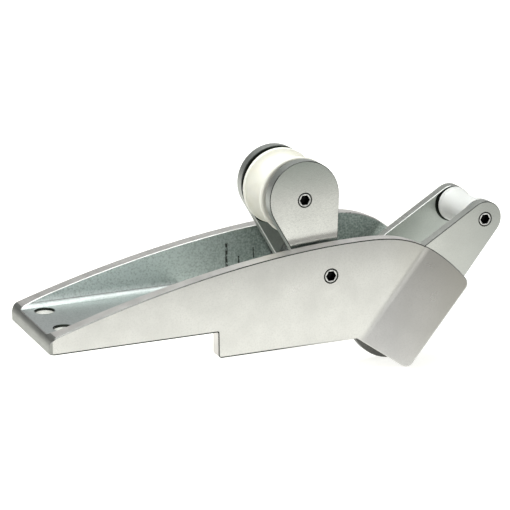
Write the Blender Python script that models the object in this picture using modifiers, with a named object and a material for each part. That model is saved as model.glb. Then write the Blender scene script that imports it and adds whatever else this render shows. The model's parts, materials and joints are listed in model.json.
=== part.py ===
"""Hinged self-launching bow roller for a small boat's anchor.

Frame: +X forward over the bow, +Y to port, +Z up. The origin lies on the deck face, midway
between the two deck bolts. The rocker is drawn at rest, stowed, with its arms reaching forward.
Blender 4.5, lengths in metres.
"""

import math

import bmesh
import bpy
from mathutils import Vector

MM = 0.001

# Base channel, seen from the side: X from the deck bolts, Z from the deck
PLATE = 8.0 * MM            # thickness of the cheeks and of the floor
HALF_WIDTH = 33.0 * MM      # centre plane to a cheek's outer face
AFT_X = -13.0 * MM          # aft end of the channel
NOTCH_X = 77.0 * MM         # step that butts on the stem head, where the floor ends
SADDLE_Z = -14.0 * MM       # bottom of the cheeks forward of the step
RIM_TOP = 38.9 * MM         # highest point of the rim
RIM_PEAK_X = 157.0 * MM
RIM_POWER = 1.77            # the rim falls away aft as distance to this power
RIM_FRONT_REACH = 60.0 * MM # forward of the peak the rim falls by RIM_FRONT_DROP
RIM_FRONT_DROP = 27.6 * MM
RIM_FRONT_POWER = 2.87
END_ROUND = 6.0 * MM        # upper edge of the aft end, seen from the side
FLOOR_FILLET = 5.0 * MM     # inside corner between floor and cheek
CORNER_RADIUS = 3.0 * MM    # aft corners in plan
NOTCH_CORNER = 2.0 * MM
BOLT_RADIUS = 5.0 * MM
BOLT_Y = 15.2 * MM

# Flares: the front of each cheek, bent outward about a slanting line
BEND_TOP = Vector((196.6 * MM, 30.6 * MM))
BEND_FOOT = Vector((159.3 * MM, SADDLE_Z))
FLARE_REACH = 30.1 * MM     # from the bend line to the front edge, along the sheet
FLARE_ANGLE = math.radians(28.0)
BEND_RADIUS = 13.0 * MM     # at mid thickness
KINK_BACK = 4.0 * MM        # the bottom edge turns down this far aft of the bend line
FLARE_TOP_CORNER = 4.5 * MM
FLARE_FOOT_CORNER = 4.0 * MM

# Rocker, as circles joined by tangent lines; centres are measured from the pivot
PIVOT = Vector((140.2 * MM, 22.2 * MM))
ROCKER_PLATE = 6.0 * MM
ROCKER_HALF = 22.0 * MM     # centre plane to a rocker plate's outer face
LARGE_AXLE = PIVOT + Vector((-9.8, 39.0)) * MM
SMALL_AXLE = PIVOT + Vector((95.8, 16.6)) * MM
HEAD_CENTRE = PIVOT + Vector((-9.9, 40.1)) * MM
HEAD_RADIUS = 19.6 * MM
BOSS_RADIUS = 8.6 * MM
LOBE_CENTRE = PIVOT + Vector((41.0, -29.7)) * MM
LOBE_RADIUS = 23.7 * MM
TIP_RADIUS = 9.7 * MM
ELBOW_CENTRE = PIVOT + Vector((22.3, -0.4)) * MM
ELBOW_RADIUS = 14.0 * MM

# Axles: a barrel put in from starboard, closed by a socket screw from port
GAP = 0.3 * MM              # running and seating clearance
AXLE_RADIUS = 3.4 * MM
AXLE_BORE = AXLE_RADIUS + GAP
SCREW_SHANK = 2.0 * MM
SHANK_LENGTH = 20.0 * MM
SHANK_CLEARANCE = 1.0 * MM   # from the shank's tip to the bottom of its bore
SOCKET_CORNER = 2.89 * MM   # corner radius of a 5 mm hexagon
SOCKET_DEPTH = 4.5 * MM
END_CHAMFER = 0.4 * MM

# Rollers and what they run on
LARGE_RADIUS = 20.6 * MM
LARGE_GROOVE = 6.0 * MM     # depth of the groove
LARGE_HALF = 12.6 * MM      # half length of the large roller
LARGE_LIP = 3.0 * MM        # full-radius rim each side of the groove
LARGE_EDGE = 1.2 * MM       # bevel on the roller's outer corners
SMALL_RADIUS = 9.5 * MM
SMALL_WAIST = 1.6 * MM      # depth of the waist
SMALL_HALF = 14.4 * MM
SMALL_RIM = 2.5 * MM
SMALL_EDGE = 0.8 * MM
BUSH_WALL = 1.9 * MM
SIDE_WASHER_RADIUS = 8.0 * MM
PIVOT_BUSH_WALL = 1.7 * MM
PIVOT_WASHER_RADIUS = 9.0 * MM
SPACER_RADIUS = 7.5 * MM

# Fineness of the curved faces, in sides
AXLE_STEPS = 32
LARGE_STEPS = 48
SMALL_STEPS = 40
LARGE_GROOVE_STEPS = 14
SMALL_WAIST_STEPS = 10
CORNER_STEP = math.radians(15.0)

# Cutters
CUTTER_MARGIN = 5.0 * MM    # how far a cutter passes the faces that it cuts
OVERCUT = 0.05 * MM         # how far a cutter starts outside the faces that it rounds
WELD = 0.01 * MM


def clear_scene():
    for item in list(bpy.data.objects):
        bpy.data.objects.remove(item, do_unlink=True)


def new_collection(name):
    collection = bpy.data.collections.new(name)
    bpy.context.scene.collection.children.link(collection)
    return collection


def material(name, colour, metallic, roughness):
    made = bpy.data.materials.new(name)
    made.use_nodes = True
    shader = made.node_tree.nodes["Principled BSDF"]
    shader.inputs["Base Color"].default_value = (*colour, 1.0)
    shader.inputs["Metallic"].default_value = metallic
    shader.inputs["Roughness"].default_value = roughness
    return made


def add_part(name, mesh, finish, collection):
    part = bpy.data.objects.new(name, mesh)
    collection.objects.link(part)
    if finish is not None:
        mesh.materials.clear()
        mesh.materials.append(material(name, *finish))
    return part


def mark_as_tool(item):
    item.hide_render = True
    item.display_type = "WIRE"


def smooth(part, angle=35.0):
    part.data.shade_smooth()
    part.data.set_sharp_from_angle(angle=math.radians(angle))


# ---- flat outlines -------------------------------------------------------------------------


def arc_points(centre, radius, start, sweep, step=math.radians(8.0)):
    count = max(2, math.ceil(abs(sweep) / step))
    points = []
    for index in range(count + 1):
        angle = start + sweep * index / count
        points.append(centre + Vector((math.cos(angle), math.sin(angle))) * radius)
    return points


def circle_points(centre, radius, count=36):
    return arc_points(centre, radius, 0.0, math.tau * (count - 1) / count, math.tau / count)


def belt_outline(circles):
    """Counter-clockwise outline round circles; a negative radius is a hollow corner."""
    spans = []
    for index, (centre, radius) in enumerate(circles):
        far_centre, far_radius = circles[(index + 1) % len(circles)]
        offset = far_centre - centre
        lean = math.asin((far_radius - radius) / offset.length)
        heading = math.atan2(offset.y, offset.x) - lean
        spans.append(heading - math.pi / 2)
    points = []
    for index, (centre, radius) in enumerate(circles):
        sweep = spans[index] - spans[index - 1]
        if radius > 0:
            sweep %= math.tau
        else:
            sweep = -((-sweep) % math.tau)
        start = spans[index - 1] if radius > 0 else spans[index - 1] + math.pi
        points.extend(arc_points(centre, abs(radius), start, sweep))
    return points


def round_corner(before, corner, after, radius):
    into = (before - corner).normalized()
    out = (after - corner).normalized()
    half = into.angle(out) / 2
    bisector = (into + out).normalized()
    centre = corner + bisector * (radius / math.sin(half))
    first = corner + into * (radius / math.tan(half)) - centre
    last = corner + out * (radius / math.tan(half)) - centre
    start = math.atan2(first.y, first.x)
    sweep = (math.atan2(last.y, last.x) - start + math.pi) % math.tau - math.pi
    return arc_points(centre, radius, start, sweep)


def rounded_outline(corners):
    """Outline through (x, y, radius) corners, each rounded by its radius."""
    points = []
    for index, (x, y, radius) in enumerate(corners):
        corner = Vector((x, y))
        if radius == 0:
            points.append(corner)
            continue
        before = Vector(corners[index - 1][:2])
        after = Vector(corners[(index + 1) % len(corners)][:2])
        points.extend(round_corner(before, corner, after, radius))
    return points


def slab_mesh(name, outlines, thickness):
    """Mesh of a flat outline with holes: in local XY, centred on local Z = 0."""
    curve = bpy.data.curves.new(name, "CURVE")
    curve.dimensions = "2D"
    curve.fill_mode = "BOTH"
    curve.extrude = thickness / 2
    for outline in outlines:
        spline = curve.splines.new("POLY")
        spline.points.add(len(outline) - 1)
        for point, place in zip(spline.points, outline):
            point.co = (place.x, place.y, 0.0, 1.0)
        spline.use_cyclic_u = True
    sketch = bpy.data.objects.new(name, curve)
    bpy.context.scene.collection.objects.link(sketch)
    evaluated = sketch.evaluated_get(bpy.context.evaluated_depsgraph_get())
    mesh = bpy.data.meshes.new_from_object(evaluated)
    bpy.data.objects.remove(sketch, do_unlink=True)
    bpy.data.curves.remove(curve)
    shape = bmesh.new()
    shape.from_mesh(mesh)
    bmesh.ops.remove_doubles(shape, verts=shape.verts, dist=WELD)
    bmesh.ops.dissolve_limit(
        shape, angle_limit=0.001, verts=shape.verts, edges=shape.edges, delimit={"NORMAL"}
    )
    shape.to_mesh(mesh)
    shape.free()
    return mesh


def upright(mesh, y_middle):
    """Stand a slab on edge: its outline's X and Y become world X and Z."""
    for vertex in mesh.vertices:
        x, z, side = vertex.co
        vertex.co = (x, y_middle - side, z)


def across(mesh, x_middle):
    """Turn a slab to face along X: its outline's X and Y become world Y and Z."""
    for vertex in mesh.vertices:
        y, z, side = vertex.co
        vertex.co = (x_middle + side, y, z)


# ---- turned pieces -------------------------------------------------------------------------


def turned(name, profile, place, closed, steps, finish, collection):
    """Turn (radius, distance to starboard) points about an axle at place, an (x, z) pair."""
    mesh = bpy.data.meshes.new(name)
    edges = [(index, index + 1) for index in range(len(profile) - 1)]
    if closed:
        edges.append((len(profile) - 1, 0))
    mesh.from_pydata([(radius, 0.0, height) for radius, height in profile], edges, [])
    part = add_part(name, mesh, finish, collection)
    screw = part.modifiers.new("Turn", "SCREW")
    screw.axis = "Z"
    screw.angle = math.tau
    screw.steps = steps
    screw.render_steps = steps
    screw.use_merge_vertices = True
    screw.merge_threshold = WELD
    screw.use_smooth_shade = True
    part.rotation_euler = (math.pi / 2, 0.0, 0.0)
    part.location = (place.x, 0.0, place.y)
    return part


def ring(name, inner, outer, low, high, place, finish, collection):
    """Plain ring from low to high along the axle, counted to starboard."""
    profile = [(outer, high), (outer, low), (inner, low), (inner, high)]
    return turned(name, profile, place, True, AXLE_STEPS, finish, collection)


def socket_cutter(name, place, face, direction, tools):
    """Hexagonal cutter that enters an axle's end at face, the distance to starboard."""
    shape = bmesh.new()
    length = SOCKET_DEPTH + CUTTER_MARGIN
    bmesh.ops.create_cone(
        shape, cap_ends=True, segments=6, radius1=SOCKET_CORNER, radius2=SOCKET_CORNER, depth=length
    )
    mesh = bpy.data.meshes.new(name)
    shape.to_mesh(mesh)
    shape.free()
    cutter = add_part(name, mesh, None, tools)
    middle = face - direction * (SOCKET_DEPTH - length / 2)
    cutter.rotation_euler = (math.pi / 2, 0.0, 0.0)
    cutter.location = (place.x, -middle, place.y)
    mark_as_tool(cutter)
    return cutter


def cut(part, cutter, operation="DIFFERENCE"):
    modifier = part.modifiers.new(cutter.name, "BOOLEAN")
    modifier.operation = operation
    modifier.solver = "EXACT"
    modifier.object = cutter


def axle(stem, place, half_length, head, finish, collection, tools):
    """Barrel flush with the starboard face, and the socket screw that closes it from port."""
    seat = half_length - head
    bore_end = -seat + SHANK_LENGTH + SHANK_CLEARANCE
    barrel_profile = [
        (0.0, half_length),
        (AXLE_RADIUS - END_CHAMFER, half_length),
        (AXLE_RADIUS, half_length - END_CHAMFER),
        (AXLE_RADIUS, -seat),
        (SCREW_SHANK + GAP, -seat),
        (SCREW_SHANK + GAP, bore_end),
        (0.0, bore_end),
    ]
    barrel = turned(f"{stem}_barrel", barrel_profile, place, False, AXLE_STEPS, finish, collection)
    cut(barrel, socket_cutter(f"{stem}_barrel_socket", place, half_length, 1, tools))
    under_head = -seat - GAP
    screw_profile = [
        (0.0, under_head + SHANK_LENGTH),
        (SCREW_SHANK, under_head + SHANK_LENGTH),
        (SCREW_SHANK, under_head),
        (AXLE_RADIUS, under_head),
        (AXLE_RADIUS, -half_length + END_CHAMFER),
        (AXLE_RADIUS - END_CHAMFER, -half_length),
        (0.0, -half_length),
    ]
    screw = turned(f"{stem}_screw", screw_profile, place, False, AXLE_STEPS, finish, collection)
    cut(screw, socket_cutter(f"{stem}_screw_socket", place, -half_length, -1, tools))
    return barrel, screw


# ---- base channel --------------------------------------------------------------------------


def rim_height(x):
    """Height of the rim; it falls both ways from its peak, to the floor's top at the aft end."""
    if x > RIM_PEAK_X:
        reach = (x - RIM_PEAK_X) / RIM_FRONT_REACH
        return RIM_TOP - RIM_FRONT_DROP * reach ** RIM_FRONT_POWER
    reach = (RIM_PEAK_X - x) / (RIM_PEAK_X - AFT_X)
    return RIM_TOP - (RIM_TOP - PLATE) * reach ** RIM_POWER


def rim_line(count=18):
    """Rim from the peak to the aft end, which it rounds down to."""
    points = []
    for index in range(count):
        x = RIM_PEAK_X + (AFT_X - RIM_PEAK_X) * index / count
        points.append(Vector((x, rim_height(x))))
    end = Vector((AFT_X, rim_height(AFT_X)))
    points += round_corner(points[-1], end, Vector((AFT_X, 0.0)), END_ROUND)
    return points


def bend_frame():
    """Directions in the flat sheet: up the bend line, and away from it toward the flare."""
    along = (BEND_TOP - BEND_FOOT).normalized()
    outward = Vector((along.y, -along.x))
    return along, outward


def front_rim_line(outward, step=4.0 * MM):
    """Rim from the flare's front edge back to the peak, and the corner where the two meet."""
    points = []
    x = RIM_PEAK_X + step
    reach = 0.0
    while reach < FLARE_REACH:
        last_reach = reach
        points.append(Vector((x, rim_height(x))))
        reach = (points[-1] - BEND_FOOT).dot(outward)
        x += step
    beyond = points.pop()
    share = (FLARE_REACH - last_reach) / (reach - last_reach)
    corner = points[-1].lerp(beyond, share)
    clear = 1.2 * FLARE_TOP_CORNER
    rim = [point for point in points if (point - corner).length > clear]
    return rim[::-1], corner


def cheek_outline():
    """One cheek as a flat sheet, before its flare is bent."""
    outward = bend_frame()[1]
    foot = BEND_FOOT + outward * FLARE_REACH
    rim_front, top_corner = front_rim_line(outward)
    corners = [
        (AFT_X, 0.0, 0.0),
        (NOTCH_X, 0.0, 0.0),
        (NOTCH_X, SADDLE_Z, NOTCH_CORNER),
        (BEND_FOOT.x - KINK_BACK, SADDLE_Z, 0.0),
        (foot.x, foot.y, FLARE_FOOT_CORNER),
        (top_corner.x, top_corner.y, FLARE_TOP_CORNER),
    ]
    corners += [(point.x, point.y, 0.0) for point in rim_front + rim_line()]
    return rounded_outline(corners)


def bend_flare(mesh):
    """Bend the sheet past the bend line outward to starboard, about a slanting axis."""
    along, outward = bend_frame()
    half_zone = BEND_RADIUS * FLARE_ANGLE / 2
    shape = bmesh.new()
    shape.from_mesh(mesh)
    normal = Vector((outward.x, 0.0, outward.y))
    for index in range(7):
        reach = -half_zone + half_zone * index / 3
        point = BEND_FOOT + outward * reach
        everything = shape.verts[:] + shape.edges[:] + shape.faces[:]
        bmesh.ops.bisect_plane(
            shape, geom=everything, plane_co=(point.x, 0.0, point.y), plane_no=normal, dist=1e-7
        )
    middle = -HALF_WIDTH + PLATE / 2
    for vertex in shape.verts:
        flat = Vector((vertex.co.x, vertex.co.z)) - BEND_FOOT
        reach = flat.dot(outward)
        if reach <= -half_zone:
            continue
        turn = min((reach + half_zone) / BEND_RADIUS, FLARE_ANGLE)
        rest = max(reach - half_zone, 0.0)
        side = middle - vertex.co.y
        arm = BEND_RADIUS - side
        new_reach = -half_zone + arm * math.sin(turn) + rest * math.cos(turn)
        new_side = BEND_RADIUS - arm * math.cos(turn) + rest * math.sin(turn)
        place = BEND_FOOT + along * flat.dot(along) + outward * new_reach
        vertex.co = (place.x, middle - new_side, place.y)
    shape.to_mesh(mesh)
    shape.free()


def floor_tool(tools):
    """Half of the floor with its inside fillet, trimmed just under the rim."""
    inner = HALF_WIDTH - PLATE
    inside_cheek = inner + PLATE / 2
    fillet_centre = Vector((-inner + FLOOR_FILLET, PLATE + FLOOR_FILLET))
    outline = [Vector((-inside_cheek, 0.0)), Vector((CUTTER_MARGIN, 0.0)), Vector((CUTTER_MARGIN, PLATE))]
    outline += arc_points(fillet_centre, FLOOR_FILLET, -math.pi / 2, -math.pi / 2, CORNER_STEP)
    outline.append(Vector((-inside_cheek, PLATE + FLOOR_FILLET)))
    mesh = slab_mesh("floor_tool", [outline], NOTCH_X - AFT_X)
    across(mesh, (NOTCH_X + AFT_X) / 2)
    tool = add_part("floor_tool", mesh, None, tools)
    mark_as_tool(tool)
    above = rim_line()
    above.append(Vector((AFT_X - CUTTER_MARGIN, above[-1].y)))
    above.append(Vector((AFT_X - CUTTER_MARGIN, 2 * RIM_TOP)))
    above.append(Vector((RIM_PEAK_X, 2 * RIM_TOP)))
    mesh = slab_mesh("rim_tool", [above], 4 * HALF_WIDTH)
    upright(mesh, 0.0)
    rim_tool = add_part("rim_tool", mesh, None, tools)
    mark_as_tool(rim_tool)
    cut(tool, rim_tool)
    return tool


def corner_tool(tools):
    """Scrap outside the rounded aft corner, as a block with a hollow side."""
    centre = Vector((AFT_X + CORNER_RADIUS, -HALF_WIDTH + CORNER_RADIUS))
    outline = arc_points(centre, CORNER_RADIUS, math.pi, math.pi / 2, CORNER_STEP)
    outline[0] = Vector((AFT_X - OVERCUT, outline[0].y))
    outline[-1] = Vector((outline[-1].x, -HALF_WIDTH - OVERCUT))
    outline.append(Vector((outline[-1].x, -HALF_WIDTH - CUTTER_MARGIN)))
    outline.append(Vector((AFT_X - CUTTER_MARGIN, -HALF_WIDTH - CUTTER_MARGIN)))
    outline.append(Vector((AFT_X - CUTTER_MARGIN, outline[0].y)))
    mesh = slab_mesh("corner_tool", [outline], 4 * HALF_WIDTH)
    tool = add_part("corner_tool", mesh, None, tools)
    mark_as_tool(tool)
    return tool


def cylinder_tool(name, radius, length, place, turn, tools):
    shape = bmesh.new()
    bmesh.ops.create_cone(
        shape, cap_ends=True, segments=36, radius1=radius, radius2=radius, depth=length
    )
    mesh = bpy.data.meshes.new(name)
    shape.to_mesh(mesh)
    shape.free()
    tool = add_part(name, mesh, None, tools)
    tool.location = place
    tool.rotation_euler = (turn, 0.0, 0.0)
    mark_as_tool(tool)
    return tool


def base_channel(finish, collection, tools):
    mesh = slab_mesh("base_channel", [cheek_outline()], PLATE)
    upright(mesh, -HALF_WIDTH + PLATE / 2)
    bend_flare(mesh)
    part = add_part("base_channel", mesh, finish, collection)
    cut(part, floor_tool(tools), "UNION")
    cut(part, corner_tool(tools))
    mirror = part.modifiers.new("Mirror", "MIRROR")
    mirror.use_axis = (False, True, False)
    mirror.use_bisect_axis = (False, True, False)
    mirror.use_bisect_flip_axis = (False, True, False)
    mirror.merge_threshold = WELD
    for side in (-1, 1):
        hole = (0.0, side * BOLT_Y, PLATE / 2)
        name = f"bolt_hole_tool_{'port' if side > 0 else 'starboard'}"
        cut(part, cylinder_tool(name, BOLT_RADIUS, 3 * PLATE, hole, 0.0, tools))
    centre = (PIVOT.x, 0.0, PIVOT.y)
    cut(part, cylinder_tool("pivot_tool", AXLE_BORE, 3 * HALF_WIDTH, centre, math.pi / 2, tools))
    smooth(part)
    return part


# ---- rocker --------------------------------------------------------------------------------


def rocker_plate(name, side, finish, collection):
    """Side plate of the rocker; side is 1 to port and -1 to starboard."""
    outline = belt_outline(
        [
            (HEAD_CENTRE, HEAD_RADIUS),
            (PIVOT, BOSS_RADIUS),
            (LOBE_CENTRE, LOBE_RADIUS),
            (SMALL_AXLE, TIP_RADIUS),
            (ELBOW_CENTRE, -ELBOW_RADIUS),
        ]
    )
    bush_bore = AXLE_BORE + PIVOT_BUSH_WALL + GAP
    holes = [
        circle_points(PIVOT, bush_bore),
        circle_points(LARGE_AXLE, AXLE_BORE),
        circle_points(SMALL_AXLE, AXLE_BORE),
    ]
    mesh = slab_mesh(name, [outline, *holes], ROCKER_PLATE)
    upright(mesh, side * (ROCKER_HALF - ROCKER_PLATE / 2))
    part = add_part(name, mesh, finish, collection)
    smooth(part)
    return part


def roller_profile(radius, depth, half_length, edge, rim, count):
    """Rounded hollow between two full-radius rims, as a closed profile for turning."""
    bore = AXLE_BORE + BUSH_WALL + GAP
    profile = [(radius - edge, half_length), (radius, half_length - edge)]
    for index in range(count + 1):
        turn = math.pi * index / count
        drop = depth * math.sin(turn)
        profile.append((radius - drop, math.cos(turn) * (half_length - rim)))
    profile += [(radius, -half_length + edge), (radius - edge, -half_length)]
    profile += [(bore, -half_length), (bore, half_length)]
    return profile


def sheave(stem, profile, place, steps, finish, bush_finish, collection):
    """Roller with the bush pressed in it."""
    turned(f"{stem}_roller", profile, place, True, steps, finish, collection)
    bush_radius = AXLE_BORE + BUSH_WALL
    half_length = profile[0][1]
    bush = f"{stem}_roller_bush"
    ring(bush, AXLE_BORE, bush_radius, -half_length, half_length, place, bush_finish, collection)


def side_washers(stem, inner_face, thickness, radius, place, finish, collection):
    """Washers whose outer faces lie just inside inner_face, one a side."""
    outer = inner_face - GAP
    for side, word in ((1, "starboard"), (-1, "port")):
        low, high = sorted((side * (outer - thickness), side * outer))
        ring(f"{stem}_washer_{word}", AXLE_BORE, radius, low, high, place, finish, collection)


def main():
    clear_scene()
    parts = new_collection("bow_roller")
    tools = new_collection("tools")
    alloy = ((0.72, 0.71, 0.67), 1.0, 0.36)
    steel = ((0.62, 0.62, 0.62), 1.0, 0.25)
    nylon = ((0.86, 0.85, 0.78), 0.0, 0.45)
    white_nylon = ((0.88, 0.88, 0.86), 0.0, 0.4)
    acetal = ((0.12, 0.12, 0.12), 0.0, 0.4)

    base_channel(alloy, parts, tools)
    rocker_plate("rocker_plate_starboard", -1, alloy, parts)
    rocker_plate("rocker_plate_port", 1, alloy, parts)

    inner_half = ROCKER_HALF - ROCKER_PLATE
    cheek_inner = HALF_WIDTH - PLATE
    axle("pivot", PIVOT, HALF_WIDTH, PLATE, steel, parts, tools)
    axle("large_axle", LARGE_AXLE, ROCKER_HALF, ROCKER_PLATE, steel, parts, tools)
    axle("small_axle", SMALL_AXLE, ROCKER_HALF, ROCKER_PLATE, steel, parts, tools)

    bush_radius = AXLE_BORE + PIVOT_BUSH_WALL
    ring("pivot_bush_starboard", AXLE_BORE, bush_radius, inner_half, ROCKER_HALF, PIVOT, acetal, parts)
    ring("pivot_bush_port", AXLE_BORE, bush_radius, -ROCKER_HALF, -inner_half, PIVOT, acetal, parts)
    spacer_half = inner_half - GAP
    ring("pivot_spacer", AXLE_BORE, SPACER_RADIUS, -spacer_half, spacer_half, PIVOT, steel, parts)
    pivot_washer = cheek_inner - ROCKER_HALF - 2 * GAP
    side_washers("pivot", cheek_inner, pivot_washer, PIVOT_WASHER_RADIUS, PIVOT, acetal, parts)

    large = roller_profile(
        LARGE_RADIUS, LARGE_GROOVE, LARGE_HALF, LARGE_EDGE, LARGE_LIP, LARGE_GROOVE_STEPS
    )
    sheave("large", large, LARGE_AXLE, LARGE_STEPS, nylon, acetal, parts)
    small = roller_profile(
        SMALL_RADIUS, SMALL_WAIST, SMALL_HALF, SMALL_EDGE, SMALL_RIM, SMALL_WAIST_STEPS
    )
    sheave("small", small, SMALL_AXLE, SMALL_STEPS, white_nylon, acetal, parts)
    large_washer = inner_half - LARGE_HALF - 2 * GAP
    side_washers("large_axle", inner_half, large_washer, SIDE_WASHER_RADIUS, LARGE_AXLE, steel, parts)
    small_washer = inner_half - SMALL_HALF - 2 * GAP
    side_washers("small_axle", inner_half, small_washer, SIDE_WASHER_RADIUS, SMALL_AXLE, steel, parts)


main()
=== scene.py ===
"""Looks of a hinged bow roller: satin aluminium channel and rocker, nylon rollers, steel axles.

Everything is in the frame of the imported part: +X forward, +Y port, +Z up, in metres.
"""

import json
import math

import bmesh
import bpy
from mathutils import Euler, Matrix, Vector


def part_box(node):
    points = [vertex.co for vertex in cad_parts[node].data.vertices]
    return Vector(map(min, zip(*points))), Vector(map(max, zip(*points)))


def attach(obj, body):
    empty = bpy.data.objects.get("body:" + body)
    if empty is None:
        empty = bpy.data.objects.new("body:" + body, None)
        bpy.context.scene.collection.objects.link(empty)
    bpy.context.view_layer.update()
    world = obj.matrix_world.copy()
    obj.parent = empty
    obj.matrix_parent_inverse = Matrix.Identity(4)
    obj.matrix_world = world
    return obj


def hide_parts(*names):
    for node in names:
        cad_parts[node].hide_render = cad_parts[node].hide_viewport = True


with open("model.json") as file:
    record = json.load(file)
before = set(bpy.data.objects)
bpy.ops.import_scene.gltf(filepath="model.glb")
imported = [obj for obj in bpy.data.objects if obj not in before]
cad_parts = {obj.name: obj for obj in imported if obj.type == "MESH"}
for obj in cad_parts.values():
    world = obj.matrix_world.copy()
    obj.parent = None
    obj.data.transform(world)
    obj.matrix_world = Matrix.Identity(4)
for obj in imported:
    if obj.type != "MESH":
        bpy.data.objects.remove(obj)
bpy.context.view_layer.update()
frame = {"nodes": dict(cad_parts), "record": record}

MM = 0.001

# Sizes that the finer pieces share with the CAD
PLATE = 8.0 * MM              # thickness of the channel
NOTCH_X = 77.0 * MM           # step in the cheeks' lower edge
SADDLE_Z = -14.0 * MM         # their lower edge forward of it
CHEEK_INNER = 25.0 * MM       # centre plane to a cheek's inner face
BOLT_RADIUS = 5.0 * MM
BOLT_Y = 15.2 * MM
ROCKER_MIDDLE = 19.0 * MM     # centre plane to the middle of a rocker plate
AFT_END = -6.0 * MM           # the rounded end lies aft of this
AXLE_RADIUS = 3.4 * MM
AXLE_BORE = 3.7 * MM
SOCKET_CORNER = 2.89 * MM     # corner radius of a 5 mm hexagon
SOCKET_DEPTH = 4.5 * MM
SCREW_SHANK = 2.0 * MM
SCREW_BORE = 2.3 * MM
SHANK_LENGTH = 20.0 * MM
SHANK_CLEARANCE = 1.0 * MM    # from the shank's tip to the bottom of its bore
TIP = 0.02 * MM               # radius at which a closed end's last ring is capped
SEAT_GAP = 0.3 * MM
BUSH_RADIUS = 5.6 * MM        # bushes pressed in the two rollers
LARGE_GROOVE = 6.0 * MM
LARGE_LIP = 3.0 * MM
LIP_SHADE_START = 11.5 * MM         # centre plane to where the painted shade on a lip starts
LARGE_EDGE = 1.2 * MM
SMALL_WAIST = 1.6 * MM
SMALL_RIM = 2.5 * MM
SMALL_EDGE = 0.8 * MM

# Edges of the real pieces are broken, not sharp
WELD = 0.2 * MM               # corners of a CAD plate closer than this become one
CHANNEL_ROUND = 0.45 * MM
ROCKER_ROUND = 0.40 * MM
EDGE_SEGMENTS = 3
EDGE_PROFILE = 0.3
SHARP_ANGLE = math.radians(32.0)
MIRROR_MERGE = 0.01 * MM
RING_ROUND = 0.25 * MM
END_CHAMFER = 0.3 * MM
MOUTH_CHAMFER = 0.15 * MM     # countersink of a hexagon socket
TURN_STEPS = 144              # sides of a turned piece
EDGE_STEPS = 8                # arc of a roller's rounded edge
HOLLOW_STEPS = 64             # arc of a roller's hollow
SOCKET_RINGS = 4              # bands of a socket painted near-black, as painted shade in the recess

# Finishes of a plate's faces, as places in its list of materials
FACE, CUT, WORN, INSIDE, END, DRILLED, WALL = range(7)

# Colour sockets of a Mix node
MIX_FIRST, MIX_SECOND, MIX_RESULT = 6, 7, 2

# Marks, painted shade and painted dark reflections on the channel
CHEEK_CROWN = (8.0 * MM, 0.45)                # height of the belly's crest, and its radius
SPECK = (0.22, 0.22, 0.20)
PIT = (0.16, 0.17, 0.16)
SCRATCH = (0.06, 0.065, 0.06)
# mottling of the inside faces, and the painted shade that deepens towards the rocker
GRIME_AND_SHADE = (0.22, 0.27, 0.25)
INSIDE_SHADE_SPAN = (62.0 * MM, 122.0 * MM)          # painted shade on the inside faces deepens along this, towards the rocker
# near-black of the painted shade and painted dark reflections
PAINTED_DARK = (0.03, 0.035, 0.03)
OUTER_DARK_SPAN = (-70.0 * MM, 90.0 * MM)    # painted dark reflection on the top outer edges deepens along this
LOWER_DARK_SPAN = (150.0 * MM, 110.0 * MM)   # and on the bottom ones, from the other end
FRONT_DARK_SPAN = (16.0 * MM, 32.0 * MM)     # heights over which the painted dark reflection on a flare's front edge deepens
UPPER_EDGES = 2.0 * MM                        # the top outer edges lie above this
LOW_EDGE = 0.8 * MM                           # painted dark reflection along the foot of a cheek's outer face
HOLE_RING = 1.0 * MM                          # painted shade round a bolt hole
HOLE_SHADE = 1.3 * MM                         # and down inside its mouth
# painted shade over the fillet at the walls' foot, dimming its highlight
FILLET_PAINTED_SHADE = (0.17, 0.18, 0.175)
FILLET_SPAN = (PLATE + 0.1 * MM, PLATE + 0.8 * MM)
FLARE_SPAN = (172.0 * MM, 225.0 * MM)         # the flares are warmer and darker towards the front: a warmer tone and painted shade
FLARE_PAINTED_SHADE = (0.47, 0.455, 0.39)
# Upright scratches on the cheeks' inside faces: x, lowest and highest z, width
SCRATCHES = (
    (105.5 * MM, 12.0 * MM, 29.0 * MM, 1.7 * MM),
    (112.5 * MM, 12.0 * MM, 21.0 * MM, 1.3 * MM),
    (121.0 * MM, 19.0 * MM, 25.0 * MM, 0.8 * MM),
)

# Painted shade, some with a duller finish, on the rocker and on the large roller's lips
ARM_SPAN = (158.0 * MM, 240.0 * MM)           # the arms are darker towards their tips: a duller finish and painted shade
ARM_PAINTED_SHADE = (0.37, 0.38, 0.36)
HEAD_FOOT = 50.0 * MM                         # the head lies above this
HEAD_SPAN = (62.0 * MM, 92.0 * MM)            # the head's faces are darker towards the top: a duller finish and painted shade
HEAD_PAINTED_SHADE = (0.35, 0.40, 0.36)
HEAD_EDGE_SPAN = (36.0 * MM, 56.0 * MM)       # and its cut edges too: a duller finish and painted shade
HEAD_EDGE_PAINTED_SHADE = (0.38, 0.39, 0.37)
LOBE_SHADE_SPAN = (6.0 * MM, -14.0 * MM)            # painted shade on the rocker's lobe deepens downwards
LOBE_SHADE = (0.10, 0.10, 0.095)
ROLLER_SHADE_REACH = 0.9 * MM                         # the painted shadow behind a roller shows this far past its rim, as a dark ring
LIP_FADE = 1.5 * MM

# Camera
CAMERA_TARGET = Vector((0.1148, 0.00796, 0.02573))
CAMERA_DISTANCE = 1.22
CAMERA_AZIMUTH = math.radians(-22.895)
CAMERA_ELEVATION = math.radians(16.381)
CAMERA_ROLL = math.radians(-0.519)
CAMERA_LENS = 162.945

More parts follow.
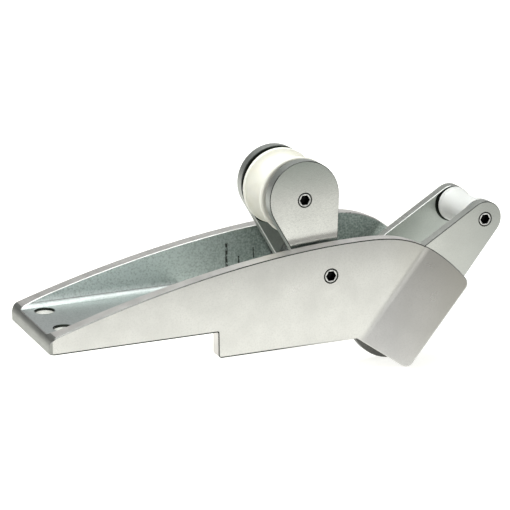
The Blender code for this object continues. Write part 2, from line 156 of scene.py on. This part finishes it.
# Studio
FLOOR_Z = -31.5 * MM
FLOOR_SIZE = 8.0
FLOOR_COLOUR = (0.52, 0.52, 0.50)
FLOOR_GLOW_COLOUR = (1.0, 0.995, 0.96)
FLOOR_GLOW = ((-0.46, 0.0), (-0.37, 0.14), (-0.26, 0.76), (-0.16, 0.80), (0.30, 0.95))
FRONT_LIGHT = 1.30            # radiance of the surroundings at eye level, in front
BACK_LIGHT = 0.95             # and behind
CEILING_SHADE = 0.15          # share of that left from CEILING_START up
CEILING_START = 0.60
FLAG_DIRECTION = Vector((-0.45, 0.85, 0.25))   # dark flag behind, to the left
FLAG_EDGE = 0.80
FLAG_SHADE = 0.30
SOFTBOX_LENGTH = 0.90
SOFTBOX_WIDTH = 0.72
SOFTBOX_PLACE = Vector((0.04, 0.04, 0.70))
SOFTBOX_POWER = 7.6
SOFTBOX_COLOUR = (0.96, 1.0, 0.985)


# ---- node helpers --------------------------------------------------------------------------


class Shading:
    """A node material, built up from small steps."""

    def __init__(self, name, colour, metallic, roughness):
        self.material = bpy.data.materials.new(name)
        self.material.use_nodes = True
        self.tree = self.material.node_tree
        self.shader = self.tree.nodes["Principled BSDF"]
        self.shader.inputs["Metallic"].default_value = metallic
        self.colour = None
        self.base = (*colour, 1.0)
        self.roughness = roughness
        self.place = self.tree.nodes.new("ShaderNodeTexCoord").outputs["Object"]

    def link(self, source, target):
        self.tree.links.new(source, target)

    def node(self, kind, **settings):
        made = self.tree.nodes.new(kind)
        for key, value in settings.items():
            setattr(made, key, value)
        return made

    def stretched(self, scale):
        mapping = self.node("ShaderNodeMapping")
        mapping.inputs["Scale"].default_value = scale
        self.link(self.place, mapping.inputs["Vector"])
        return mapping.outputs["Vector"]

    def noise(self, size, detail=2.0, place=None):
        """Smooth noise, 0 to 1, with features of about this size in metres."""
        made = self.node("ShaderNodeTexNoise")
        made.inputs["Scale"].default_value = 1.0 / size
        made.inputs["Detail"].default_value = detail
        self.link(place or self.place, made.inputs["Vector"])
        return made.outputs["Fac"]

    def remap(self, value, low, high, to_low=0.0, to_high=1.0):
        made = self.node("ShaderNodeMapRange")
        made.inputs["From Min"].default_value = low
        made.inputs["From Max"].default_value = high
        made.inputs["To Min"].default_value = to_low
        made.inputs["To Max"].default_value = to_high
        self.link(value, made.inputs["Value"])
        return made.outputs["Result"]

    def math(self, operation, first, second=None):
        made = self.node("ShaderNodeMath", operation=operation)
        for socket, value in zip(made.inputs, (first, second)):
            if value is None:
                continue
            if isinstance(value, (int, float)):
                socket.default_value = value
            else:
                self.link(value, socket)
        return made.outputs["Value"]

    def specks(self, spacing, radius, share):
        """Mask of small round specks, one for this share of cells of about this spacing."""
        cells = self.node("ShaderNodeTexVoronoi")
        cells.inputs["Scale"].default_value = 1.0 / spacing
        self.link(self.place, cells.inputs["Vector"])
        reach = radius / spacing
        near = self.remap(cells.outputs["Distance"], reach * 0.6, reach, 1.0, 0.0)
        split = self.node("ShaderNodeSeparateColor")
        self.link(cells.outputs["Color"], split.inputs["Color"])
        chosen = self.math("LESS_THAN", split.outputs["Red"], share)
        return self.math("MULTIPLY", near, chosen)

    def tint(self, mask, colour):
        """Blend the base colour towards colour where mask is 1."""
        mix = self.node("ShaderNodeMix", data_type="RGBA")
        self.link(mask, mix.inputs["Factor"])
        if self.colour is None:
            mix.inputs[MIX_FIRST].default_value = self.base
        else:
            self.link(self.colour, mix.inputs[MIX_FIRST])
        mix.inputs[MIX_SECOND].default_value = (*colour, 1.0)
        self.colour = mix.outputs[MIX_RESULT]

    def vary_roughness(self, value, low, high):
        self.roughness = self.remap(value, 0.3, 0.7, low, high)

    def bump(self, height, distance, strength=1.0):
        made = self.node("ShaderNodeBump")
        made.inputs["Distance"].default_value = distance
        made.inputs["Strength"].default_value = strength
        self.link(height, made.inputs["Height"])
        socket = self.shader.inputs["Normal"]
        if socket.is_linked:
            self.link(socket.links[0].from_socket, made.inputs["Normal"])
        self.link(made.outputs["Normal"], socket)

    def along(self, axis):
        """The object coordinate along X, Y or Z."""
        split = self.node("ShaderNodeSeparateXYZ")
        self.link(self.place, split.inputs["Vector"])
        return split.outputs[axis]

    def distance(self, first, first_centre, second, second_centre):
        """Distance from a centre, in the plane of two coordinates."""
        first = self.math("SUBTRACT", first, first_centre)
        second = self.math("SUBTRACT", second, second_centre)
        squares = self.math("ADD", self.math("POWER", first, 2.0), self.math("POWER", second, 2.0))
        return self.math("SQRT", squares)

    def crown(self, middle, radius):
        """Slight belly of the sheet about a level line at height middle."""
        off = self.math("SUBTRACT", self.along("Z"), middle)
        drop = self.math("MULTIPLY", self.math("MULTIPLY", off, off), -0.5 / radius)
        self.bump(drop, 1.0)

    def done(self):
        if self.colour is None:
            self.shader.inputs["Base Color"].default_value = self.base
        else:
            self.link(self.colour, self.shader.inputs["Base Color"])
        if isinstance(self.roughness, float):
            self.shader.inputs["Roughness"].default_value = self.roughness
        else:
            self.link(self.roughness, self.shader.inputs["Roughness"])
        return self.material


# ---- materials -----------------------------------------------------------------------------


def plate_alloy(name, colour, low_roughness, high_roughness, grain_depth):
    """Rolled face: satin, faintly clouded and grained, with the odd speck."""
    look = Shading(name, colour, 1.0, low_roughness)
    darker = tuple(0.86 * part for part in colour)
    clouds = look.noise(16 * MM, 3.0)
    grain = look.noise(0.8 * MM, 3.0)
    look.tint(look.remap(clouds, 0.4, 0.75, 0.0, 0.7), darker)
    look.tint(look.remap(grain, 0.45, 0.75, 0.0, grain_depth), darker)
    look.tint(look.specks(14 * MM, 0.35 * MM, 0.35), SPECK)
    look.vary_roughness(clouds, low_roughness, high_roughness)
    look.bump(grain, 0.03 * MM, 0.6)
    look.bump(look.noise(14 * MM, 1.0), 0.12 * MM, 0.5)
    return look


def marked_alloy(name, colour, low_roughness, high_roughness, grain_depth, scratches):
    """Inside face, less finished: mottled, pitted and scratched, with painted shade deepening
    towards the rocker.
    """
    look = plate_alloy(name, colour, low_roughness, high_roughness, grain_depth)
    look.tint(look.specks(5 * MM, 0.3 * MM, 0.5), PIT)
    mottle = look.noise(1.1 * MM, 3.0)
    look.tint(look.remap(mottle, 0.48, 0.66, 0.0, 0.32), GRIME_AND_SHADE)
    # painted shade, deepening towards the rocker
    shade_towards_rocker = look.remap(look.along("X"), *INSIDE_SHADE_SPAN, 0.0, 0.92)
    patchy = look.remap(mottle, 0.3, 0.6, 0.6, 1.0)
    look.tint(look.math("MULTIPLY", shade_towards_rocker, patchy), GRIME_AND_SHADE)
    wander = look.remap(look.noise(4 * MM, 2.0), 0.0, 1.0, -0.5 * MM, 0.5 * MM)
    across = look.math("ADD", look.along("X"), wander)
    height = look.along("Z")
    broken = look.remap(look.noise(1.6 * MM, 2.0), 0.30, 0.42)
    for x, low, high, width in scratches:
        off = look.math("ABSOLUTE", look.math("SUBTRACT", across, x))
        line = look.remap(off, 0.3 * width, 0.5 * width, 1.0, 0.0)
        inside = look.math("MULTIPLY", line, look.math("GREATER_THAN", height, low))
        inside = look.math("MULTIPLY", inside, look.math("LESS_THAN", height, high))
        look.tint(look.math("MULTIPLY", inside, broken), SCRATCH)
    return look


def cut_alloy(name, colour):
    """Sawn and linished edge: duller and warmer, with fine lines across the sheet."""
    look = Shading(name, colour, 1.0, 0.46)
    lines = look.noise(1.0, 2.0, look.stretched((1400.0, 60.0, 1400.0)))
    clouds = look.noise(9 * MM, 3.0)
    look.tint(look.remap(clouds, 0.35, 0.7), tuple(0.84 * part for part in colour))
    look.vary_roughness(lines, 0.42, 0.52)
    look.bump(lines, 0.03 * MM, 0.5)
    return look


def worn_alloy(name, colour):
    """Broken edge, rubbed brighter than the faces beside it."""
    look = Shading(name, colour, 1.0, 0.3)
    rubbed = look.noise(3.5 * MM, 3.0)
    look.tint(look.remap(rubbed, 0.5, 0.72), tuple(0.8 * part for part in colour))
    look.vary_roughness(rubbed, 0.26, 0.38)
    look.bump(look.noise(0.6 * MM, 2.0), 0.02 * MM, 0.5)
    return look


def channel_edges(name, colour):
    """Worn edges of the channel, with painted shade round the bolt holes and painted dark
    reflections on the outer edges.
    """
    look = worn_alloy(name, colour)
    x, z = look.along("X"), look.along("Z")
    side = look.math("ABSOLUTE", look.along("Y"))
    from_hole = look.distance(x, 0.0, side, BOLT_Y)
    holes = look.math("LESS_THAN", from_hole, BOLT_RADIUS + HOLE_RING)
    outer = look.math("GREATER_THAN", side, CHEEK_INNER + 0.6 * PLATE)
    aft = look.math("LESS_THAN", x, FLARE_SPAN[0])
    upper = look.math("MAXIMUM", aft, look.remap(z, *FRONT_DARK_SPAN))
    upper = look.math("MULTIPLY", upper, look.math("GREATER_THAN", z, UPPER_EDGES))
    top = look.math("MULTIPLY", look.remap(x, *OUTER_DARK_SPAN), upper)
    lower = look.math("LESS_THAN", z, UPPER_EDGES)
    below = look.math("MULTIPLY", look.remap(x, *LOWER_DARK_SPAN), lower)
    edges = look.math("MULTIPLY", outer, look.math("MAXIMUM", top, below))
    # painted shade round the bolt holes and painted dark reflections along the outer edges
    look.tint(look.math("MAXIMUM", holes, edges), PAINTED_DARK)
    return look.done()


def lobe_shaded(look):
    """The same look with painted shade that deepens down the rocker's lobe."""
    look.tint(look.remap(look.along("Z"), *LOBE_SHADE_SPAN), LOBE_SHADE)
    return look


def rocker_edges(name, colour):
    """Worn edges of the rocker, with painted dark reflections on the outer ones and all round the
    head.
    """
    look = worn_alloy(name, colour)
    outer = look.math("GREATER_THAN", look.math("ABSOLUTE", look.along("Y")), ROCKER_MIDDLE)
    head = look.math("GREATER_THAN", look.along("Z"), HEAD_FOOT)
    # painted dark reflections on the outer edges and all round the head
    look.tint(look.math("MULTIPLY", look.math("MAXIMUM", outer, head), 0.9), PAINTED_DARK)
    return lobe_shaded(look).done()


def rocker_inside_shaded(name, colour):
    """Inside of a rocker plate, with a painted shadow behind each roller that shows as a dark ring
    past its rim.
    """
    look = plate_alloy(name, colour, 0.36, 0.44, 1.0)
    for node in ("large_roller", "small_roller"):
        centre, half = middle_of(node)
        off = look.distance(look.along("X"), centre.x, look.along("Z"), centre.z)
        # painted shadow on the plate behind the roller
        look.tint(look.math("LESS_THAN", off, half.x + ROLLER_SHADE_REACH), PAINTED_DARK)
    return look.done()


def turned_steel(name, colour):
    """Bright steel with the rings that facing leaves."""
    look = Shading(name, colour, 1.0, 0.26)
    split = look.node("ShaderNodeSeparateXYZ")
    look.link(look.place, split.inputs["Vector"])
    joined = look.node("ShaderNodeCombineXYZ")
    look.link(split.outputs["X"], joined.inputs["X"])
    look.link(split.outputs["Z"], joined.inputs["Z"])
    length = look.node("ShaderNodeVectorMath", operation="LENGTH")
    look.link(joined.outputs["Vector"], length.inputs[0])
    radius = length.outputs["Value"]
    rings = look.math("SINE", look.math("MULTIPLY", radius, math.tau / (0.35 * MM)))
    look.bump(rings, 0.006 * MM, 0.5)
    smears = look.noise(2.5 * MM, 3.0)
    look.tint(look.remap(smears, 0.45, 0.75), tuple(0.78 * part for part in colour))
    look.vary_roughness(smears, 0.22, 0.36)
    return look.done()


def plastic(name, colour, stain, roughness, soft, grain):
    """Turned or moulded plastic: slightly cloudy, a little light under the skin."""
    look = Shading(name, colour, 0.0, roughness)
    look.shader.inputs["Subsurface Weight"].default_value = soft
    look.shader.inputs["Subsurface Radius"].default_value = (2.2 * MM, 2.0 * MM, 1.6 * MM)
    look.shader.inputs["Subsurface Scale"].default_value = 1.0
    look.shader.inputs["IOR"].default_value = 1.53
    clouds = look.noise(8 * MM, 3.0)
    look.tint(look.remap(clouds, 0.4, 0.75, 0.0, 0.6), stain)
    turning = look.noise(1.0, 1.0, look.stretched((30.0, 2600.0, 30.0)))
    look.vary_roughness(turning, roughness - 0.04, roughness + 0.06)
    look.bump(turning, 0.015 * MM, grain)
    look.bump(look.noise(0.7 * MM, 2.0), 0.015 * MM, grain)
    return look


# ---- shapes --------------------------------------------------------------------------------


def refined(node, name, body, edge_round, kind_of, finishes, mirrored=False):
    """Copy of a CAD plate with whole faces and broken edges; kind_of picks a face's finish.

    A mirrored plate keeps its starboard half and repeats that to port.
    """
    source = frame["nodes"][node]
    mesh = bpy.data.meshes.new(name)
    shape = bmesh.new()
    shape.from_mesh(source.data)
    bmesh.ops.remove_doubles(shape, verts=shape.verts, dist=WELD)
    bmesh.ops.dissolve_limit(
        shape, angle_limit=math.radians(0.3), verts=shape.verts, edges=shape.edges
    )
    if mirrored:
        geometry = list(shape.verts) + list(shape.edges) + list(shape.faces)
        bmesh.ops.bisect_plane(
            shape, geom=geometry, plane_co=(0, 0, 0), plane_no=(0, 1, 0), clear_outer=True
        )
    for face in shape.faces:
        face.smooth = True
        face.material_index = kind_of(face)
    shape.to_mesh(mesh)
    shape.free()
    for finish in finishes:
        mesh.materials.append(finish)
    piece = bpy.data.objects.new(name, mesh)
    bpy.context.scene.collection.objects.link(piece)
    bevel = piece.modifiers.new("Broken edges", "BEVEL")
    bevel.width = edge_round
    bevel.segments = EDGE_SEGMENTS
    bevel.limit_method = "ANGLE"
    bevel.angle_limit = SHARP_ANGLE
    bevel.material = WORN
    bevel.use_clamp_overlap = False
    bevel.loop_slide = False
    bevel.profile = EDGE_PROFILE
    if mirrored:
        mirror = piece.modifiers.new("Port side", "MIRROR")
        mirror.use_axis = (False, True, False)
        mirror.merge_threshold = MIRROR_MERGE
    normals = piece.modifiers.new("Even shading", "WEIGHTED_NORMAL")
    normals.keep_sharp = True
    normals.weight = 80
    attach(piece, body)
    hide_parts(node)
    return piece


def rounded(profile, radius, steps=4):
    """Closed (radius, y) profile with each corner rounded."""
    points = []
    for index, corner in enumerate(profile):
        corner = Vector(corner)
        into = Vector(profile[index - 1]) - corner
        out = Vector(profile[(index + 1) % len(profile)]) - corner
        reach = min(radius, into.length / 3, out.length / 3)
        first = corner + into.normalized() * reach
        last = corner + out.normalized() * reach
        for step in range(steps + 1):
            share = step / steps
            points.append(first.lerp(corner, share).lerp(corner.lerp(last, share), share))
    return points


def lofted(name, rings, centre, closed, dark_rings=0):
    """Rings round a +Y axle through centre; a ring is (y, function from angle to radius)."""
    mesh = bpy.data.meshes.new(name)
    shape = bmesh.new()
    loops = []
    for y, radius_at in rings:
        loop = []
        for step in range(TURN_STEPS):
            angle = math.tau * step / TURN_STEPS
            radius = radius_at(angle)
            loop.append(shape.verts.new((radius * math.cos(angle), y, radius * math.sin(angle))))
        loops.append(loop)
    pairs = list(zip(loops, loops[1:]))
    if closed:
        pairs.append((loops[-1], loops[0]))
    for index, (first, second) in enumerate(pairs):
        for step in range(TURN_STEPS):
            after = (step + 1) % TURN_STEPS
            face = shape.faces.new((first[step], first[after], second[after], second[step]))
            face.material_index = 1 if index < dark_rings else 0
    if not closed:
        shape.faces.new(loops[0][::-1]).material_index = 1
        shape.faces.new(loops[-1])
    bmesh.ops.recalc_face_normals(shape, faces=shape.faces)
    for face in shape.faces:
        face.smooth = True
    shape.to_mesh(mesh)
    shape.free()
    mesh.set_sharp_from_angle(angle=math.radians(38.0))
    piece = bpy.data.objects.new(name, mesh)
    piece.location = centre
    bpy.context.scene.collection.objects.link(piece)
    return piece


def even(radius):
    return lambda angle: radius


def hexagon(corner):
    """Radius of a hexagon at an angle, with its corners just softened."""
    flat = corner * math.cos(math.pi / 6)

    def radius_at(angle):
        off = (angle + math.pi / 6) % (math.pi / 3) - math.pi / 6
        return min(flat / math.cos(math.pi / 6 - abs(off)), 0.985 * corner)

    return radius_at


def turned(name, profile, centre):
    return lofted(name, [(y, even(radius)) for radius, y in profile], centre, True)


def place_piece(piece, node, body, finish):
    piece.data.materials.append(finish)
    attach(piece, body)
    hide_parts(node)


def middle_of(node):
    low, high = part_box(node)
    return (low + high) / 2, (high - low) / 2


def ring_piece(node, inner, body, finish):
    """Bush or washer with broken edges, where its CAD node is."""
    centre, half = middle_of(node)
    profile = [(inner, -half.y), (half.x, -half.y), (half.x, half.y), (inner, half.y)]
    piece = turned(f"{node}_fine", rounded(profile, RING_ROUND), centre)
    place_piece(piece, node, body, finish)


def roller_piece(node, bore, hollow, rim, edge, body, finish):
    """Roller whose rounded hollow runs between two rims."""
    centre, half = middle_of(node)
    radius = half.x
    profile = [(bore, half.y), (radius - edge, half.y)]
    for step in range(1, EDGE_STEPS + 1):
        turn = math.pi / 2 * step / EDGE_STEPS
        y = half.y - edge + edge * math.cos(turn)
        profile.append((radius - edge + edge * math.sin(turn), y))
    for step in range(1, HOLLOW_STEPS):
        turn = math.pi * step / HOLLOW_STEPS
        profile.append((radius - hollow * math.sin(turn), math.cos(turn) * (half.y - rim)))
    for step in range(EDGE_STEPS, 0, -1):
        turn = math.pi / 2 * step / EDGE_STEPS
        y = -half.y + edge - edge * math.cos(turn)
        profile.append((radius - edge + edge * math.sin(turn), y))
    profile += [(radius - edge, -half.y), (bore, -half.y)]
    piece = turned(f"{node}_fine", profile, centre)
    place_piece(piece, node, body, finish)
    return piece


def socket_rings(end, inward):
    """Rings of a hexagon socket from its drilled bottom out to the chamfered rim."""
    mouth = SOCKET_CORNER + MOUTH_CHAMFER
    depth = SOCKET_DEPTH * inward
    return [
        (end + depth * 1.12, even(TIP)),
        (end + depth, even(SOCKET_CORNER * 0.84)),
        (end + depth, hexagon(SOCKET_CORNER)),
        (end + MOUTH_CHAMFER * inward, hexagon(SOCKET_CORNER)),
        (end + MOUTH_CHAMFER * inward * 0.9, hexagon(SOCKET_CORNER * 1.01)),
        (end, even(mouth)),
        (end, even(AXLE_RADIUS - END_CHAMFER)),
        (end + END_CHAMFER * inward * 0.3, even(AXLE_RADIUS - END_CHAMFER * 0.3)),
        (end + END_CHAMFER * inward, even(AXLE_RADIUS)),
    ]


def axle_pieces(stem, body, finish, socket_finish):
    """Barrel with its socket to starboard, and the socket screw that closes it from port."""
    centre, _ = middle_of(f"{stem}_barrel")
    low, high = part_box(f"{stem}_barrel")
    bore_end = high.y - SHANK_LENGTH - SHANK_CLEARANCE
    rings = socket_rings(low.y - centre.y, 1)
    rings += [
        (high.y - centre.y, even(AXLE_RADIUS)),
        (high.y - centre.y, even(SCREW_BORE)),
        (bore_end - centre.y, even(SCREW_BORE)),
        (bore_end - centre.y, even(TIP)),
    ]
    barrel = lofted(f"{stem}_barrel_fine", rings, centre, False, SOCKET_RINGS)
    place_piece(barrel, f"{stem}_barrel", body, finish)
    barrel.data.materials.append(socket_finish)
    centre, _ = middle_of(f"{stem}_screw")
    low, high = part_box(f"{stem}_screw")
    head = low.y + SHANK_LENGTH
    rings = socket_rings(high.y - centre.y, -1)
    rings += [
        (head - centre.y, even(AXLE_RADIUS)),
        (head - centre.y, even(SCREW_SHANK)),
        (low.y - centre.y, even(SCREW_SHANK)),
        (low.y - centre.y, even(TIP)),
    ]
    screw = lofted(f"{stem}_screw_fine", rings, centre, False, SOCKET_RINGS)
    place_piece(screw, f"{stem}_screw", body, finish)
    screw.data.materials.append(socket_finish)


# ---- the object ----------------------------------------------------------------------------


def channel_kind(face):
    """Finish of a channel face: the rims, the two ends and the bolt holes are cut."""
    centre = face.calc_center_median()
    normal = face.normal
    for side in (-1, 1):
        off = Vector((centre.x, centre.y - side * BOLT_Y)).length
        if off < BOLT_RADIUS + 0.1 * MM and abs(normal.z) < 0.2:
            return DRILLED
    if centre.x < AFT_END and normal.x < -0.4:
        return END
    inside = abs(centre.y) < CHEEK_INNER + 0.1 * MM
    if inside and abs(normal.x) < 0.5:
        return WALL if abs(normal.y) > 0.9 else INSIDE
    if abs(normal.y) < 0.3:
        return CUT
    return FACE if centre.y * normal.y > 0 else WALL


def rocker_kind(face):
    if abs(face.normal.y) < 0.5:
        return CUT
    return FACE if face.calc_center_median().y * face.normal.y > 0 else INSIDE


def cheek_face():
    look = plate_alloy("satin_alloy", (0.612, 0.606, 0.580), 0.27, 0.34, 0.8)
    look.crown(*CHEEK_CROWN)
    # painted shade, with a warmer tone, towards the flares' front
    look.tint(look.remap(look.along("X"), *FLARE_SPAN), FLARE_PAINTED_SHADE)
    # painted dark reflection along the foot of the outer face, fading out forwards
    aft = look.math("LESS_THAN", look.along("X"), NOTCH_X)
    foot = look.math("MULTIPLY", look.math("SUBTRACT", 1.0, aft), SADDLE_Z)
    low = look.math("LESS_THAN", look.math("SUBTRACT", look.along("Z"), foot), LOW_EDGE)
    look.tint(look.math("MULTIPLY", low, look.remap(look.along("X"), *LOWER_DARK_SPAN)), PAINTED_DARK)
    return look.done()


def channel_floor():
    look = marked_alloy("floor_alloy", (0.540, 0.565, 0.556), 0.38, 0.46, 1.0, ())
    # painted shade over the fillet, dimming its highlight
    look.tint(look.remap(look.along("Z"), *FILLET_SPAN, 0.0, 0.3), FILLET_PAINTED_SHADE)
    return look.done()


def drilled_wall():
    look = worn_alloy("drilled_alloy", (0.920, 0.925, 0.910))
    # painted shade down in the top of a bolt hole's mouth
    look.tint(look.math("GREATER_THAN", look.along("Z"), PLATE - HOLE_SHADE), PAINTED_DARK)
    return look.done()


def rocker_outside():
    look = plate_alloy("rocker_alloy", (0.700, 0.698, 0.665), 0.18, 0.25, 0.8)
    # painted shade, with a duller finish, towards the arm tips
    look.tint(look.remap(look.along("X"), *ARM_SPAN), ARM_PAINTED_SHADE)
    # painted shade, with a duller finish, towards the head's top
    look.tint(look.remap(look.along("Z"), *HEAD_SPAN), HEAD_PAINTED_SHADE)
    return lobe_shaded(look).done()


def rocker_cut():
    look = cut_alloy("rocker_cut_alloy", (0.560, 0.560, 0.530))
    # painted shade, with a duller finish, towards the top of the head's cut edges
    look.tint(look.remap(look.along("Z"), *HEAD_EDGE_SPAN), HEAD_EDGE_PAINTED_SHADE)
    return lobe_shaded(look).done()


def ivory_nylon():
    look = plastic("ivory_nylon", (0.90, 0.885, 0.80), (0.82, 0.79, 0.68), 0.42, 0.10, 0.5)
    side = look.math("ABSOLUTE", look.along("Y"))
    # painted shade on both lips
    look.tint(look.remap(side, LIP_SHADE_START, LIP_SHADE_START + LIP_FADE), (0.66, 0.65, 0.585))
    return look.done()


def build_plates():
    face = cheek_face()
    cut = cut_alloy("cut_alloy", (0.740, 0.715, 0.690)).done()
    worn = channel_edges("channel_edge_alloy", (0.600, 0.600, 0.580))
    # the rounded aft end is painted dark, as painted shade
    end = cut_alloy("aft_end_shaded_alloy", (0.330, 0.335, 0.315)).done()
    # the inside walls are painted lighter and cooler than the outer faces; the lightness is
    # painted light
    wall = marked_alloy("wall_alloy", (0.830, 0.905, 0.880), 0.46, 0.55, 1.0, SCRATCHES).done()
    refined(
        "base_channel", "channel", "base", CHANNEL_ROUND, channel_kind,
        (face, cut, worn, channel_floor(), end, drilled_wall(), wall), mirrored=True,
    )
    rocker_finishes = (
        rocker_outside(),
        rocker_cut(),
        rocker_edges("rocker_edge_alloy", (0.640, 0.640, 0.620)),
        # the plates' inside faces are painted darker than their outsides, as painted shade
        rocker_inside_shaded("rocker_inside_alloy", (0.46, 0.49, 0.46)),
    )
    for side in ("starboard", "port"):
        refined(
            f"rocker_plate_{side}", f"rocker_{side}", "rocker", ROCKER_ROUND,
            rocker_kind, rocker_finishes,
        )


def build_rollers():
    bore = BUSH_RADIUS + SEAT_GAP
    white = plastic("white_nylon", (0.74, 0.74, 0.72), (0.68, 0.68, 0.65), 0.40, 0.10, 0.5).done()
    roller_piece(
        "large_roller", bore, LARGE_GROOVE, LARGE_LIP, LARGE_EDGE,
        "large_sheave", ivory_nylon(),
    )
    roller_piece(
        "small_roller", bore, SMALL_WAIST, SMALL_RIM, SMALL_EDGE,
        "small_sheave", white,
    )


def build_axles():
    """Bushes, washers and spacer where the CAD has them, and the three axles."""
    dark = (0.030, 0.030, 0.030)
    acetal = plastic("dark_acetal", dark, (0.05, 0.05, 0.05), 0.42, 0.0, 0.5).done()
    steel = turned_steel("axle_steel", (0.62, 0.62, 0.60))
    hidden = turned_steel("washer_steel", (0.50, 0.50, 0.50))
    # the sockets' recesses are painted near-black, as painted shade
    socket_shade = cut_alloy("socket_painted_shade", (0.020, 0.020, 0.020)).done()
    groups = frame["record"]["behaviour"]["bodies"]
    bodies = {node: body for body, nodes in groups.items() for node in nodes}
    for node, body in bodies.items():
        if node.endswith("_bush") or node.startswith(("pivot_bush", "pivot_washer")):
            ring_piece(node, AXLE_BORE, body, acetal)
        elif "_washer" in node or node == "pivot_spacer":
            ring_piece(node, AXLE_BORE, body, hidden)
    for stem in ("pivot", "large_axle", "small_axle"):
        axle_pieces(stem, bodies[f"{stem}_barrel"], steel, socket_shade)


# ---- the studio ----------------------------------------------------------------------------


def build_floor():
    mesh = bpy.data.meshes.new("studio_floor")
    half = FLOOR_SIZE / 2
    corners = [(-half, -half, 0), (half, -half, 0), (half, half, 0), (-half, half, 0)]
    mesh.from_pydata(corners, [], [(0, 1, 2, 3)])
    floor = bpy.data.objects.new("studio_floor", mesh)
    floor.location = (0.1, 0.0, FLOOR_Z)
    bpy.context.scene.collection.objects.link(floor)
    look = Shading("studio_table", FLOOR_COLOUR, 0.0, 0.9)
    look.shader.inputs["Specular IOR Level"].default_value = 0.0
    split = look.node("ShaderNodeSeparateXYZ")
    look.link(look.place, split.inputs["Vector"])
    steps = look.node("ShaderNodeValToRGB")
    low, high = FLOOR_GLOW[0][0], FLOOR_GLOW[-1][0]
    look.link(look.remap(split.outputs["Y"], low, high), steps.inputs["Fac"])
    ramp = steps.color_ramp
    while len(ramp.elements) < len(FLOOR_GLOW):
        ramp.elements.new(0.5)
    for element, (y, glow) in zip(ramp.elements, FLOOR_GLOW):
        element.position = (y - low) / (high - low)
        element.color = (glow, glow, glow, 1.0)
    look.shader.inputs["Emission Color"].default_value = (*FLOOR_GLOW_COLOUR, 1.0)
    look.link(steps.outputs["Color"], look.shader.inputs["Emission Strength"])
    mesh.materials.append(look.done())


def build_world():
    """Grey surroundings, darker overhead, with a dark flag behind to the left."""
    world = bpy.data.worlds.new("studio_world")
    bpy.context.scene.world = world
    world.use_nodes = True
    tree = world.node_tree
    direction = tree.nodes.new("ShaderNodeTexCoord").outputs["Generated"]
    split = tree.nodes.new("ShaderNodeSeparateXYZ")
    tree.links.new(direction, split.inputs["Vector"])
    toward = tree.nodes.new("ShaderNodeVectorMath")
    toward.operation = "DOT_PRODUCT"
    toward.inputs[1].default_value = FLAG_DIRECTION.normalized()
    tree.links.new(direction, toward.inputs[0])
    ramps = (
        (split.outputs["Y"], -0.6, 0.6, FRONT_LIGHT, BACK_LIGHT),
        (split.outputs["Z"], 0.0, CEILING_START, 1.0, CEILING_SHADE),
        (toward.outputs["Value"], FLAG_EDGE, 1.0, 1.0, FLAG_SHADE),
    )
    light = None
    for value, start, end, first, last in ramps:
        ramp = tree.nodes.new("ShaderNodeMapRange")
        ramp.interpolation_type = "SMOOTHSTEP"
        ramp.inputs["From Min"].default_value = start
        ramp.inputs["From Max"].default_value = end
        ramp.inputs["To Min"].default_value = first
        ramp.inputs["To Max"].default_value = last
        tree.links.new(value, ramp.inputs["Value"])
        if light is None:
            light = ramp.outputs["Result"]
            continue
        product = tree.nodes.new("ShaderNodeMath")
        product.operation = "MULTIPLY"
        tree.links.new(light, product.inputs[0])
        tree.links.new(ramp.outputs["Result"], product.inputs[1])
        light = product.outputs["Value"]
    background = tree.nodes["Background"]
    background.inputs["Color"].default_value = (1.0, 1.0, 1.0, 1.0)
    tree.links.new(light, background.inputs["Strength"])


def build_softbox():
    light = bpy.data.lights.new("softbox", "AREA")
    light.shape = "RECTANGLE"
    light.size = SOFTBOX_LENGTH
    light.size_y = SOFTBOX_WIDTH
    light.energy = SOFTBOX_POWER
    light.color = SOFTBOX_COLOUR
    lamp = bpy.data.objects.new("softbox", light)
    lamp.location = SOFTBOX_PLACE
    bpy.context.scene.collection.objects.link(lamp)


def build_camera():
    data = bpy.data.cameras.new("camera")
    data.lens = CAMERA_LENS
    data.sensor_width = 36.0
    camera = bpy.data.objects.new("camera", data)
    turn = Euler((math.pi / 2 - CAMERA_ELEVATION, 0.0, CAMERA_AZIMUTH)).to_quaternion()
    back = turn @ Vector((0.0, 0.0, 1.0))
    camera.location = CAMERA_TARGET + back * CAMERA_DISTANCE
    roll = Euler((0.0, 0.0, CAMERA_ROLL)).to_quaternion()
    camera.rotation_mode = "QUATERNION"
    camera.rotation_quaternion = turn @ roll
    bpy.context.scene.collection.objects.link(camera)
    bpy.context.scene.camera = camera


bpy.context.scene.view_settings.view_transform = "Standard"
build_camera()
build_world()
build_softbox()
build_floor()
build_plates()
build_rollers()
build_axles()
